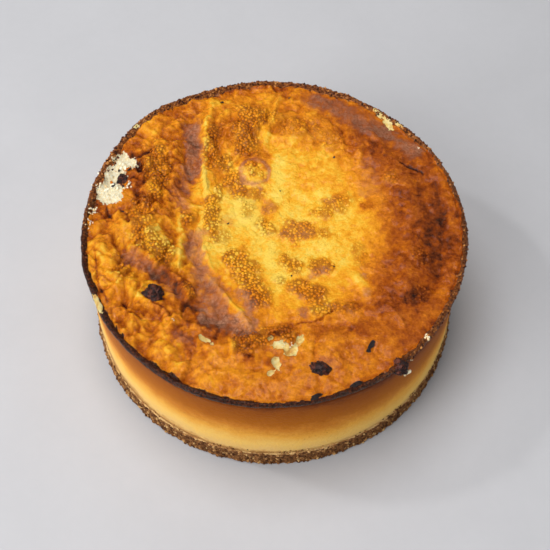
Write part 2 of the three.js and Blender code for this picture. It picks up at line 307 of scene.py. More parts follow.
# Browning of the skin, each a path with its half width and an amount. The paths below 0 that start at (-37.4,
# 70), (-38, 14), (-59, -2), (-49, 8), (-20, -60) and (-33, -26) follow ridges of PUCKERS, and there they are
# painted light on the ridge.
BROWNING_AND_RIDGE_LIGHT = [
    # the back left
    ([(-85, 50), (-74, 64), (-60, 76), (-42, 88)], 7, 0.1), ([(-68, 66), (-66, 56)], 4.5, -0.14),
    ([(-72, 38), (-70, 22)], 3.5, 0.16), ([(-53, 54), (-53, 28), (-55, 12), (-54, -2)], 3.2, 0.14),
    ([(-44, 66), (-44, 38)], 5, 0.16), ([(-47, 34), (-48, 18)], 5, 0.1),
    ([(-37.4, 70), (-36.8, 54), (-37.4, 40), (-35.5, 26)], 1.5, -0.24), ([(-33, 66), (-33, 42)], 3.5, 0.04),
    ([(-25, 70), (-25, 54)], 4, 0.12), ([(-16, 67), (-15, 52)], 5, 0.1), ([(-4, 62), (-3, 54)], 3.5, -0.08),
    ([(-14, 77), (-4, 74)], 6, 0.06), ([(-36, 84), (-33, 74)], 5, -0.14),
    ([(-32, 84), (-15, 87), (4, 85)], 3.5, -0.1),
    ([(-34, 92), (-14, 96), (6, 96.5)], 2.2, 0.2), ([(-93, 34), (-92, 12)], 4, 0.16),
    ([(-22, 33), (-19, 26)], 5, 0.2), ([(-10, 25)], 4.5, 0.2), ([(-11, 38)], 6, 0.14),
    ([(-44.6, 7)], 4.5, 0.2),
    ([(-32, 18), (-32, 3)], 4, 0.18), ([(-31.5, -4)], 3, 0.14), ([(-30, 46), (-24, 32)], 4, 0.06),
    ([(-76, 50), (-74, 34)], 6, 0.18), ([(-45, 52), (-45, 40)], 4, -0.08),
    ([(-60, 4), (-60, -6)], 5, -0.12),
    ([(-18, 76), (16, 76)], 7, -0.1), ([(-14, 46), (-3, 44)], 5, 0.2), ([(14, 34), (30, 28)], 7, 0.12),
    ([(-16, 46), (-8, 47)], 6, 0.14), ([(-62, 16), (-60, 12)], 5, 0.12), ([(-46, 2), (-44, -4)], 4, 0.1),
    ([(-30, 2), (-30, -4)], 3.5, -0.08), ([(-46, 32), (-44, 28)], 5, -0.08),
    # the golden middle
    ([(-15, 2), (-15, -4)], 4, 0.1), ([(30, 2), (32, -2)], 5, 0.08), ([(15, -46), (33, -46)], 5, -0.08),
    ([(-14, 14.5)], 3.5, 0.06), ([(-17, 16), (-12, 6)], 6, -0.14), ([(28, 17), (30, -2)], 7, -0.08),
    ([(44, 2), (46, -14)], 8, 0.1), ([(-2, 16), (-2, 8)], 4.5, 0.2), ([(8, 1), (17, 1)], 5.5, 0.26),
    ([(25, 0)], 5, 0.2),
    ([(26, 14), (33, 18)], 5.5, 0.22), ([(49.5, 17)], 3.5, 0.24), ([(3, 46), (2, 22)], 3, -0.1),
    ([(21, 24), (28, 27)], 2, -0.14), ([(-22, 18), (-10, 18)], 2, -0.08), ([(-6, -4), (-2, -12)], 4, -0.06),
    ([(-38, 14), (-37, 2), (-31, -12)], 2, -0.12), ([(6, -17), (10, -21)], 4.5, 0.2),
    ([(20, -23), (27, -20)], 4.8, 0.24),
    ([(12, -34), (21, -36)], 5, 0.24), ([(16, -47)], 3.2, 0.1), ([(23, -46), (27, -45)], 3, 0.1),
    ([(33, -46), (40, -44)], 4, 0.2), ([(42, -28), (46, -38)], 3.2, -0.2), ([(0, -20), (2, -40)], 3, -0.08),
    ([(16, 48), (30, 40), (38, 28)], 8, 0.05), ([(44, 60), (54, 50)], 5, 0.1),
    ([(44, 30), (46, 14)], 4, 0.06),
    # the front left
    ([(-59, -2), (-53, -11)], 2.4, -0.22), ([(-49, 8), (-47.5, -6), (-46.5, -22)], 2.2, -0.16),
    ([(-75, -16), (-65.6, -18.4), (-57.8, -23.6), (-49, -29.7), (-43.8, -37.6), (-40.3, -46)], 4.0, 0.24),
    ([(-56, -31), (-48, -40), (-44, -52)], 5.5, 0.04), ([(-76, -38), (-66, -42), (-58, -50)], 4.5, -0.1),
    ([(-19, -15), (-14, -26), (-8, -37)], 6.5, 0.22), ([(-38, -52), (-30, -57), (-23, -60)], 4.5, 0.28),
    ([(-20, -60), (-20, -68)], 1.6, -0.14), ([(-12, -65)], 5, 0.14), ([(-12.3, -74.6)], 2.4, 0.3),
    ([(-2.8, -75)], 2.2, 0.3),
    ([(-47, -62), (-42, -67)], 4, 0.12), ([(-33, -26), (-26, -36), (-18, -46), (-11, -56)], 2.2, -0.16),
    ([(-90, -8), (-88, -26)], 4, -0.04), ([(-62, -62), (-40, -78)], 5, -0.05),
    ([(-30, -28), (-28, -36)], 6, 0.12), ([(-62, -47), (-56, -46)], 5, 0.1),
    ([(-34, -62), (-28, -56)], 5, 0.12),
    ([(-76, -8), (-74, -18)], 6, -0.08), ([(-84, -36), (-72, -54), (-58, -68), (-44, -78)], 7, 0.06),
    ([(-46, -58), (-30, -62)], 6, 0.1),
    ([(-30, -30), (-22, -40)], 6, 0.08), ([(-78, 34), (-72, 26)], 5, 0.14),
    ([(-32, 34), (-22, 30)], 6, 0.08),
    ([(-62, -46), (-54, -46)], 5, 0.1), ([(-46, -60), (-42, -62)], 5, 0.12),
    ([(-62, -28), (-58, -30)], 5, -0.1),
    # the front right
    ([(28, -44), (37, -46)], 7, -0.14),
    ([(22, -56), (46, -57)], 4.5, 0.08), ([(2, -60), (7, -57)], 3.2, 0.24),
    ([(13, -70), (28, -66)], 5, -0.06),
    ([(89, -16), (83, -36), (76, -50)], 4.5, -0.08), ([(58, -62), (40, -74)], 6, -0.04),
    ([(56, -42), (68, -44)], 5, 0.08),
    # the right
    ([(22, 87), (38, 78), (52, 68), (64, 60)], 5.5, 0.12), ([(60, 50), (70, 40)], 7, 0.1),
    ([(80, 14), (84, -8), (82, -26)], 6, 0.08), ([(76, -36), (68, -40)], 3.5, 0.14),
    ([(88, 44), (92, 20), (94, 0)], 2.6, -0.1),
    ([(62, 33)], 3.5, -0.14), ([(56, 14), (60, 0)], 4, 0.06), ([(66, 24), (74, 20)], 4, 0.05),
]
# Painted sheen: a grey haze of reflected light painted over the skin's colour, each a path with its half
# width and how strong it is.
PAINTED_SHEEN = [
    ([(-44, 66), (-43.8, 40)], 5, 0.95), ([(-47, 34), (-49, 18)], 4.5, 0.5), ([(-45.5, 14.5)], 3, 0.7),
    ([(-41, -2), (-38.5, -16)], 4.2, 1.0), ([(-38.5, -16), (-34, -28)], 4.4, 1.0),
    ([(-33, -32), (-27, -46)], 6.5, 1.0),
    ([(-31, -50), (-14, -55)], 6, 1.15), ([(-16, -35), (-12, -43)], 3.4, 1.0),
    ([(-38, -34), (-34, -46)], 3, 0.5),
    ([(-76, -15), (-66, -20), (-58, -25)], 3.2, 0.6), ([(-54, -30), (-48, -38)], 3, 0.4),
    ([(22, 87), (38, 78), (52, 69), (63, 61)], 5, 0.8), ([(68, 58), (75, 51)], 4.5, 0.8),
    ([(51, 44), (50, 26)], 4.5, 0.35),
    ([(-17, 40), (-15.5, 31), (-8, 28)], 1.8, 0.8), ([(-23, 8)], 3.5, 0.4), ([(-3, 15)], 4, 0.35),
    ([(9, 2), (17, 1)], 4.5, 0.35),
    ([(30, 20)], 3, 0.35), ([(19, -26), (24, -24)], 3, 0.6), ([(15.5, -47)], 3, 0.7),
    ([(45.5, -26)], 2, 0.7),
    ([(46, -37)], 2.5, 0.5), ([(-45, -63)], 4, 0.4), ([(12, -38)], 3, 0.3),
]


def blistered(x, y):
    """Where the skin rose in bubbles, 0 to 1."""
    u, v = warped(x, y)
    total = np.zeros(np.shape(x))
    fray = frayed(x, y)
    for path, width, amount in BLISTERS:
        total = np.maximum(total, amount * stroke(u, v, path, width, 0.4, fray))
    return total


def foamed(x, y):
    """Where tiny bubbles stand: round the blisters and over much of the middle and the right."""
    near = 0.7 * ease(0.05, 0.5, blistered(x, y)) * (1 - 0.6 * ease(0.7, 0.9, blistered(x, y)))
    drift = ease(-0.15, 0.35, rough(x, y, 9, 55)) * stroke(x, y, FOAM_MIDDLE, 18, 0.7)
    left = ease(0, 0.4, rough(x, y, 8, 56)) * stroke(x, y, FOAM_LEFT, 9, 0.7)
    return np.clip(near + 0.4 * drift + 0.3 * left, 0, 1)


def puckers(x, y):
    """Humps and creases of the skin in three sizes, each 0 in a crease and 1 on a hump."""
    u, v = x + 3 * rough(x, y, 16, 31), y + 3 * rough(x, y, 16, 32)
    return creased(u * 1.2, v * 0.8, 12, 62), creased(u * 0.8, v, 5.2, 63), creased(u, v, 2.2, 67)


def liveliness(x, y):
    """How strongly the skin is puckered: little in the middle and right, most at the left and front."""
    r = np.hypot(x - 8, y)
    calm = 0.4 * ease(25, 60, x) + 0.5 * stroke(x, y, CALM_BACK_LEFT, 9)
    calm = calm + 0.4 * stroke(x, y, CALM_BACK_RIGHT, 9)
    front = 0.3 * ease(20, 60, -y) * ease(-60, -20, x)
    return np.clip(0.2 + 0.5 * ease(34, 66, r) + 0.5 * ease(20, 50, -x) - calm - front, 0.08, 1.2)


def ridges(x, y):
    """The height of the drawn ridges and hollows, in millimetres."""
    total = np.zeros(np.shape(x))
    for path, width, rise in PUCKERS:
        total = total + rise * bell(off_path(x, y, path), width)
    return total


def browning(x, y):
    """How dark the skin is painted, 0 pale yellow and 1 nearly black: its browning, with painted shade in
    creases and hollows, painted light on humps and ridges, and darker under the painted sheen.
    """
    u, v = warped(x, y)
    from_gold = np.hypot(u - 5, (v - 8) / 1.05)
    tone = 0.05 + 0.38 * ease(32, 64, from_gold)
    to_right = bell(np.arctan2(v, u) + 0.05, 1.0)
    tone = tone + 0.3 * to_right * ease(46, 70, np.hypot(u, v))
    fray = frayed(x, y)
    for path, width, amount in BROWNING_AND_RIDGE_LIGHT:
        tone = tone + amount * stroke(u, v, path, width, 0.65, fray)
    large, middling, small = puckers(x, y)
    live = liveliness(x, y)
    # Painted shade in the creases and painted light on the humps, strongest where the skin is most puckered.
    tone = tone + live * (0.16 * (0.55 - large) + 0.18 * (0.55 - middling) + 0.1 * (0.55 - small))
    ring = bell(oval(x, y, *LONE_BLISTER, 8.2, 8.2) - 1, 0.07)
    # Painted light on the drawn ridges and painted shade in the drawn hollows; the skin is also painted
    # darker under the painted sheen.
    tone = tone + 0.16 * ring - 0.09 * ridges(u, v) + 0.2 * painted_sheen(x, y)
    return tone + 0.05 * rough(x, y, 8, 51) + 0.13 * rough(x, y, 3.0, 52) + 0.1 * rough(x, y, 1.5, 53)


# Where the painted sheen lies, 0 to 1: a grey haze of reflected light, with a ring of it round the lone
# blister.
def painted_sheen(x, y):
    u, v = warped(x, y)
    total = np.zeros(np.shape(x))
    fray = frayed(x, y)
    for path, width, amount in PAINTED_SHEEN:
        total = np.maximum(total, amount * stroke(u, v, path, width, 0.5, fray))
    halo = 0.9 * bell(oval(x, y, *LONE_BLISTER, 7.6, 7.6) - 1, 0.16)
    return np.maximum(total, halo) * np.clip(0.8 + 0.5 * rough(x, y, 4, 57), 0, 1)


def cracked(x, y):
    u, v = warped(x, y)
    total = np.zeros(np.shape(x))
    for path, width in CRACKS:
        total = np.maximum(total, bell(off_path(u, v, path), width))
    return total


def broad_skin(x, y):
    """The skin's height over the table without its small wrinkles."""
    r = np.hypot(x, y)
    z = RIM_HEIGHT - RIM_LIP + RING_RISE * bell(r - RING_RADIUS, RING_WIDTH)
    z = z + (rim_height(np.arctan2(y, x)) - RIM_HEIGHT) * ease(RING_RADIUS, RIM_RADIUS, r)
    z = z - DISH_DEPTH * bell(r, DISH_RADIUS)
    for path, width, rise in FOLDS:
        z = z + rise * bell(off_path(x, y, path), width)
    return z


def by_raisins(x, y):
    """1 by a raisin, where the skin lies flat, and 0 away from them."""
    near = np.zeros(np.shape(x))
    for _, cx, cy, half, turn, _ in RAISINS:
        near = np.maximum(near, 1 - ease(0.9, 1.9, oval(x, y, cx, cy, half[0], half[1], turn)))
    return near


def skin(x, y):
    """The skin's height over the table, with everything a fine mesh can hold."""
    u, v = warped(x, y)
    z = broad_skin(u, v)
    z = z + 1.35 * ridges(u, v)
    for path, width in CRACKS:
        z = z - 0.8 * bell(off_path(u, v, path), width)
    large, middling, small = puckers(x, y)
    live = liveliness(x, y)
    away = 1 - by_raisins(x, y)
    humps = live * (2.4 * large + 0.9 * middling + 0.3 * small - 1.9)
    z = z + (0.6 * rough(x, y, 14, 61) + humps) * away
    z = z + (0.12 + 0.1 * live) * rough(x, y, 1.7, 64)
    z = z + 0.6 * blistered(x, y)
    tear = np.maximum(torn(x, y), torn_gold(x, y))
    curd = 0.5 * rough(x, y, 2.4, 65) + 0.35 * rough(x, y, 1.3, 66)
    lifted = 0.5 * 4 * tear * (1 - tear)
    return z - 1.7 * tear + (curd * tear + lifted) * away


# ---------------------------------------------------------------- meshes


def zip_rings(first, first_count, second, second_count):
    """Triangles between two rings of points, given where each starts and how many it has."""
    faces = []
    i = j = 0
    while i < first_count or j < second_count:
        here, there = first + i % first_count, second + j % second_count
        if j >= second_count or (i < first_count and (i + 1) * second_count <= (j + 1) * first_count):
            faces.append((here, first + (i + 1) % first_count, there))
            i += 1
        else:
            faces.append((here, second + (j + 1) % second_count, there))
            j += 1
    return faces


def ringed_mesh(name, bottom, rings, top):
    """A closed mesh from rings of points in millimetres, run from the underside up and over."""
    points, faces, starts, reached = [np.array([bottom])], [], [], []
    total = 1
    for ring in rings:
        starts.append(total)
        points.append(ring)
        total += len(ring)
    points.append(np.array([top]))
    count = len(rings[0])
    faces += [(0, starts[0] + (s + 1) % count, starts[0] + s) for s in range(count)]
    for k in range(len(rings) - 1):
        faces += zip_rings(starts[k], len(rings[k]), starts[k + 1], len(rings[k + 1]))
        reached.append(len(faces))
    count = len(rings[-1])
    faces += [(starts[-1] + s, starts[-1] + (s + 1) % count, total) for s in range(count)]
    mesh = bpy.data.meshes.new(name)
    mesh.from_pydata((np.vstack(points) * MM).tolist(), [], faces)
    mesh.shade_smooth()
    return mesh, np.vstack(points), reached


def circle(count):
    return np.arange(count) * 2 * math.pi / count


def at(angle, radius, z):
    return np.column_stack([radius * np.cos(angle), radius * np.sin(angle), z + 0 * angle])


def give(mesh, **values):
    """Stores one number per point under each name, for the materials and the scatters."""
    for name, value in values.items():
        attribute = mesh.attributes.new(name, "FLOAT", "POINT")
        attribute.data.foreach_set("value", np.asarray(value, dtype=np.float32))


def piece(name, mesh, slot, *replaced, materials=()):
    made = bpy.data.objects.new(name, mesh)
    bpy.context.scene.collection.objects.link(made)
    for material in materials:
        mesh.materials.append(material)
    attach(made, "root")
    if replaced:
        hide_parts(*replaced)
    return made


# Where the dark rim is broader: direction, how far round, and by how much.
RIM_BROADENINGS = [(-32, 30, 0.4), (132, 42, 2.2), (70, 30, 0.9), (218, 32, 1.4)]


def rim_thickness(angle):
    """How wide the dark rim is, seen from above: broad at the back left and thin at the front."""
    width = 2.4
    for degrees, reach, extra in RIM_BROADENINGS:
        width = width + extra * near_direction(angle, degrees, reach)
    return width


def looseness(angle):
    """How crumbly the rim is: most at the back left, hardly at all at the front."""
    around = 0.9 * near_direction(angle, 125, 50) + 0.6 * near_direction(angle, 50, 45)
    return np.clip(around + 0.45 * near_direction(angle, -32, 34), 0, 1)


# The rim's section, from under its overhang to the skin inside it: inset and drop.
RIM_SECTION = [
    (1.0, 3.4), (0.45, 2.9), (0.1, 2.3), (0.0, 1.6), (0.1, 0.9), (0.5, 0.35), (1.1, 0.0),
    (1.7, 0.0), (2.2, 0.25), (2.7, 0.65), (3.2, 1.05),
]


def filling_mesh():
    rings = []
    angle = circle(WALL_SECTORS)
    wall_top = RIM_HEIGHT - RIM_DEPTH
    around = angle * WALL_RADIUS
    for level in range(WALL_ROWS):
        share = level / (WALL_ROWS - 1)
        z = BASE_HEIGHT + (wall_top - 0.6 - BASE_HEIGHT) * share
        radius = WALL_RADIUS - WAIST * math.sin(math.pi * share) + swell(angle, share)
        radius = radius + 0.16 * rough(around, z + 0 * angle, 9, 71) - 0.15
        radius = radius + 0.5 * ease(0.92, 1.0, share)
        rings.append(at(angle, radius, z))
    angle = circle(RIM_SECTORS)
    around = angle * RIM_RADIUS
    for row, (inset, drop) in enumerate(RIM_SECTION):
        loose = 0.5 + 0.6 * looseness(angle)
        jag = rough(around, 2.1 * row + 0 * angle, 2.2, 72) + 0.6 * rough(
            around, 1.4 * row + 0 * angle, 5.5, 73,
        )
        flat = math.sin(math.pi * min(1.0, (row + 0.6) / 10.6))
        radius = RIM_RADIUS - inset + swell(angle, 1) + loose * 0.75 * jag * flat - 0.2
        lift = rough(around + 90, 2.1 * row + 0 * angle, 2.0, 74)
        z = rim_height(angle) - drop + loose * 0.8 * lift * flat
        rings.append(at(angle, radius, z))
    inner = RIM_RADIUS - RIM_WIDTH - 0.5
    reach = inner
    while reach > SKIN_STEP:
        angle = circle(max(8, round(2 * math.pi * reach / SKIN_STEP)))
        radius = (inner + swell(angle, 1)) * reach / inner
        x, y = radius * np.cos(angle), radius * np.sin(angle)
        rings.append(np.column_stack([x, y, skin(x, y)]))
        reach -= SKIN_STEP
    middle = float(skin(np.zeros(1), np.zeros(1))[0])
    mesh, points, reached = ringed_mesh("cheese_filling", (0, 0, BASE_HEIGHT), rings, (0, 0, middle))
    x, y, z = points.T
    angle, r = np.arctan2(y, x), np.hypot(x, y)
    inset = RIM_RADIUS + swell(angle, 1) - r
    on_top = (np.arange(len(points)) > WALL_ROWS * WALL_SECTORS).astype(float)
    thick = rim_thickness(angle) * (1 + 0.5 * rough(angle * 99, 0 * angle, 9, 75))
    crust = on_top * (1 - ease(thick - 0.5, thick + 0.7, inset + 0.9 * rough(x, y, 2.4, 76)))
    give(
        mesh,
        browning=browning(x, y),
        dull=painted_sheen(x, y),
        lively=liveliness(x, y),
        blister=blistered(x, y) * on_top * ease(3, 6, inset),
        foam=foamed(x, y) * on_top * ease(3, 6, inset),
        torn=torn(x, y) * on_top,
        gold=torn_gold(x, y) * on_top,
        crack=cracked(x, y) * on_top,
        crust=crust,
        loose=crust * ease(0.1, 0.7, looseness(angle)),
        foot=(1 - on_top) * (1 - ease(0, 1, z - BASE_HEIGHT)) * ease(0.2, 0.8, r / WALL_RADIUS) * ease(
            -0.25, 0.35, rough(angle * 99, 0 * angle, 5, 77),
        ),
    )
    return mesh, reached[WALL_ROWS - 1]


def base_mesh():
    angle = circle(BASE_SECTORS)
    around = angle * BASE_RADIUS
    rings = []
    rows = 17
    for row in range(rows + 1):
        z = BASE_HEIGHT * row / rows
        grain = rough(around, z + 0 * angle, 2.0, 81) + 0.5 * rough(around, z + 0 * angle, 6, 82)
        radius = BASE_RADIUS + swell(angle, 0) + 0.55 * grain
        radius = radius + 1.1 * (1 - ease(0.3, 4.5, z)) - 0.5 * (1 - ease(0, 0.6, z))
        held = 0 if row in (0, rows) else 0.25
        rings.append(at(angle, radius, z + held * rough(around, z + 7 + 0 * angle, 1.7, 83)))
    mesh, points, _ = ringed_mesh("crumb_base", (0, 0, 0), rings, (0, 0, BASE_HEIGHT))
    x, y, z = points.T
    side = (np.hypot(x, y) > 90).astype(float)
    soaked = ease(BASE_HEIGHT - 2.6, BASE_HEIGHT - 0.2, z + 0.9 * rough(angle_of(x, y) * 99, z, 3, 85))
    give(
        mesh,
        side=side * ease(0.1, 0.8, z) * (1 - 0.7 * soaked) * (1 - ease(BASE_HEIGHT - 0.5, BASE_HEIGHT, z)),
        tone=0.4 + 0.3 * rough(angle_of(x, y) * 99, z, 3, 84) + 0.6 * soaked,
    )
    return mesh


def angle_of(x, y):
    return np.arctan2(y, x)


def raisin_mesh(name, x, y, half, turn, proud, seed):
    """A dried grape: a drawn-out ball, deeply folded lengthwise and finely wrinkled."""
    rows, around = 46, 72
    rings = []
    for row in range(1, rows):
        tilt = math.pi * row / rows
        angle = circle(around)
        ring = np.column_stack([
            -math.cos(tilt) + 0 * angle, math.sin(tilt) * np.cos(angle), math.sin(tilt) * np.sin(angle),
        ])
        fold = np.abs(np.sin(2.5 * angle + 0.8 * rough(ring[:, 0] * 3 + seed, ring[:, 1] * 3, 1.1, seed)))
        crease = creased(ring[:, 0] * 5 + seed, ring[:, 1] * 4 + ring[:, 2] * 7, 1.5, seed + 3)
        depth = 0.75 + 0.16 * fold + 0.22 * crease * math.sin(tilt)
        depth = depth * (1 + 0.3 * rough(ring[:, 0] * 2 + 5 * seed, ring[:, 1] * 2, 1.4, seed + 5, 2))
        rings.append(ring * depth[:, None] * np.array(half))
    c, s = math.cos(math.radians(turn)), math.sin(math.radians(turn))
    centre = float(skin(np.array([x]), np.array([y]))[0]) + proud - 0.65 * half[2]

    def placed(points):
        u, v, lift = np.atleast_2d(points).T
        return np.column_stack([x + u * c - v * s, y + u * s + v * c, centre + lift])

    ends = placed([[-0.8 * half[0], 0, 0], [0.8 * half[0], 0, 0]])
    return ringed_mesh(name, ends[1], [placed(r) for r in rings][::-1], ends[0])[0]


# ---------------------------------------------------------------- node helpers


def node(tree, kind, inputs=(), **settings):
    made = tree.nodes.new(kind)
    for name, value in settings.items():
        setattr(made, name, value)
    for socket, value in dict(inputs).items():
        if isinstance(value, bpy.types.NodeSocket):
            tree.links.new(value, made.inputs[socket])
        else:
            made.inputs[socket].default_value = value
    return made


def maths(tree, operation, first, second=0.0, third=0.0, clamp=False):
    made = node(
        tree, "ShaderNodeMath", {0: first, 1: second, 2: third}, operation=operation, use_clamp=clamp,
    )
    return made.outputs[0]


def spread(tree, value, low, high, to_low=0.0, to_high=1.0):
    """value moved smoothly from one range to another."""
    made = node(
        tree, "ShaderNodeMapRange",
        {"Value": value, "From Min": low, "From Max": high, "To Min": to_low, "To Max": to_high},
        interpolation_type="SMOOTHSTEP",
    )
    return made.outputs["Result"]


def stored(tree, name):
    return node(tree, "ShaderNodeAttribute", attribute_name=name).outputs["Fac"]


def paint(red, green, blue):
    """A colour as it looks, given as 0 to 255, in the linear numbers that nodes take."""
    return [((c / 255 + 0.055) / 1.055) ** 2.4 if c > 10 else c / 3294.6 for c in (red, green, blue)] + [1.0]


def ramp(tree, value, stops):
    made = node(tree, "ShaderNodeValToRGB", {"Fac": value})
    elements = made.color_ramp.elements
    while len(elements) < len(stops):
        elements.new(0.5)
    for element, (place, colour) in zip(elements, stops):
        element.position = place
        element.color = colour
    return made.outputs["Color"]


def blend(tree, share, first, second, kind="MIX"):
    made = node(tree, "ShaderNodeMix", data_type="RGBA", blend_type=kind)
    made.inputs["Factor"].default_value = 1.0
    for socket, value in (("Factor", share), ("A", first), ("B", second)):
        target = [s for s in made.inputs if s.name == socket and s.enabled][0]
        if isinstance(value, bpy.types.NodeSocket):
            tree.links.new(value, target)
        else:
            target.default_value = value
    return [s for s in made.outputs if s.enabled][0]


def group(name, inputs, outputs):
    tree = bpy.data.node_groups.new(name, "ShaderNodeTree")
    for label, kind, default in inputs:
        socket = tree.interface.new_socket(label, in_out="INPUT", socket_type=kind)
        if default is not None:
            socket.default_value = default
    for label, kind in outputs:
        tree.interface.new_socket(label, in_out="OUTPUT", socket_type=kind)
    return tree, tree.nodes.new("NodeGroupInput").outputs, tree.nodes.new("NodeGroupOutput").inputs


def mottle_group():
    """Unevenness of two sizes, each about -1 to 1, and 1 along the creases between highs and lows."""
    tree, given, out = group(
        "mottle",
        [
            ("Place", "NodeSocketVector", None), ("Slow per metre", "NodeSocketFloat", 120.0),
            ("Fine per metre", "NodeSocketFloat", 700.0),
        ],
        [("Slow", "NodeSocketFloat"), ("Fine", "NodeSocketFloat"), ("Creases", "NodeSocketFloat")],
    )
    for label in ("Slow", "Fine"):
        waves_node = node(
            tree, "ShaderNodeTexNoise",
            {
                "Vector": given["Place"], "Scale": given[label + " per metre"], "Detail": 4.0,
                "Roughness": 0.6, "Distortion": 0.4,
            },
        )
        wide = maths(tree, "MULTIPLY_ADD", waves_node.outputs["Fac"], 7.0, -3.5)
        tree.links.new(wide, out[label])
        if label == "Slow":
            tree.links.new(spread(tree, maths(tree, "ABSOLUTE", wide), 0.0, 0.45, 1.0, 0.0), out["Creases"])
    return tree


def bubble_group():
    """Bubbles packed side by side: Dome is 1 on each crown, Net is 1 in the thin lines between them."""
    tree, given, out = group(
        "bubbles",
        [("Place", "NodeSocketVector", None), ("Bubbles per metre", "NodeSocketFloat", 700.0)],
        [("Dome", "NodeSocketFloat"), ("Net", "NodeSocketFloat")],
    )
    push = node(tree, "ShaderNodeTexNoise", {"Vector": given["Place"], "Scale": 400.0, "Detail": 1.0})
    moved = node(tree, "ShaderNodeMix", data_type="VECTOR")
    moved.inputs["Factor"].default_value = 0.0006
    vectors = [s for s in moved.inputs if s.type == "VECTOR"]
    tree.links.new(given["Place"], vectors[0])
    tree.links.new(push.outputs["Color"], vectors[1])
    place = [s for s in moved.outputs if s.type == "VECTOR"][0]
    edges = node(
        tree, "ShaderNodeTexVoronoi", {
            "Vector": place, "Scale": given["Bubbles per metre"], "Randomness": 0.9,
        },
        feature="DISTANCE_TO_EDGE",
    )
    tree.links.new(spread(tree, edges.outputs["Distance"], 0.0, 0.4), out["Dome"])
    tree.links.new(spread(tree, edges.outputs["Distance"], 0.03, 0.2, 1.0, 0.0), out["Net"])
    return tree


MOTTLE = mottle_group()
BUBBLES = bubble_group()


def surface(
    name, roughness, sheen=0.0, soft=0.0, soft_scale=0.003, coat=0.0, shine=0.25, coat_roughness=0.25,
):
    """A material with its shader, and its place on the piece."""
    material = bpy.data.materials.new(name)
    material.use_nodes = True
    tree = material.node_tree
    tree.nodes.clear()
    shader = node(tree, "ShaderNodeBsdfPrincipled", {"Roughness": roughness})
    shader.inputs["Subsurface Weight"].default_value = soft
    shader.inputs["Subsurface Scale"].default_value = soft_scale
    shader.inputs["Subsurface Radius"].default_value = (1.0, 0.55, 0.25)
    shader.inputs["Specular IOR Level"].default_value = shine
    shader.inputs["Sheen Weight"].default_value = sheen
    shader.inputs["Coat Weight"].default_value = coat
    shader.inputs["Coat Roughness"].default_value = coat_roughness
    out = node(tree, "ShaderNodeOutputMaterial")
    tree.links.new(shader.outputs[0], out.inputs["Surface"])
    place = node(tree, "ShaderNodeTexCoord").outputs["Object"]
    return material, tree, shader, place


def use_group(tree, made, **inputs):
    placed = tree.nodes.new("ShaderNodeGroup")
    placed.node_tree = made
    for label, value in inputs.items():
        socket = placed.inputs[label.replace("_", " ")]
        if isinstance(value, bpy.types.NodeSocket):
            tree.links.new(value, socket)
        else:
            socket.default_value = value
    return placed.outputs


def relief(tree, shader, height, strength=1.0):
    """Fine relief from a height in millimetres."""
    made = node(tree, "ShaderNodeBump", {"Height": height, "Strength": strength, "Distance": MM})
    tree.links.new(made.outputs["Normal"], shader.inputs["Normal"])


# The colours that baking gives the skin, from pale to burnt.
BAKED_TONES = [
    (0.0, paint(255, 213, 86)), (0.13, paint(255, 189, 47)), (0.28, paint(248, 160, 27)),
    (0.43, paint(226, 132, 20)), (0.58, paint(194, 100, 13)), (0.73, paint(154, 67, 7)),
    (0.87, paint(106, 41, 5)), (1.0, paint(48, 15, 5)),
]


